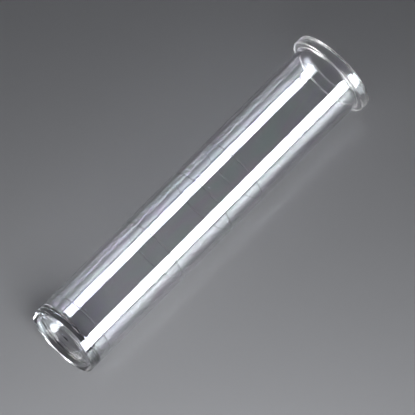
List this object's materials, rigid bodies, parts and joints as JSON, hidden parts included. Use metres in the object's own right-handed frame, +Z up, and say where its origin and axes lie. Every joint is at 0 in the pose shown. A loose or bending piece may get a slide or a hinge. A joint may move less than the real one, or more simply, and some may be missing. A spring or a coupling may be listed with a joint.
{
  "type": "manual rain gauge tube",
  "caption": "Clear straight measuring tube with a closed, hollowed foot, a thick flanged mouth and thin printed rings, for catching and reading rain by eye.",
  "frame": {"origin": "centre of the foot, on the surface that the gauge stands on", "axes": "+Z up the tube's axis, from the foot to the mouth; the gauge is round, so +X and +Y are free"},
  "size_m": [0.0376, 0.0376, 0.16],
  "materials": {
    "tube_plastic": "clear, colourless, polished",
    "base_plastic": "clear, colourless, moulded",
    "flange_plastic": "clear, colourless, moulded",
    "line_ink": "thin, faint grey print"
  },
  "bodies": {
    "root": {"measuring_tube": "tube_plastic", "base_cup": "base_plastic", "rim_flange": "flange_plastic", "graduation_lines": "line_ink"}
  },
  "joints": []
}
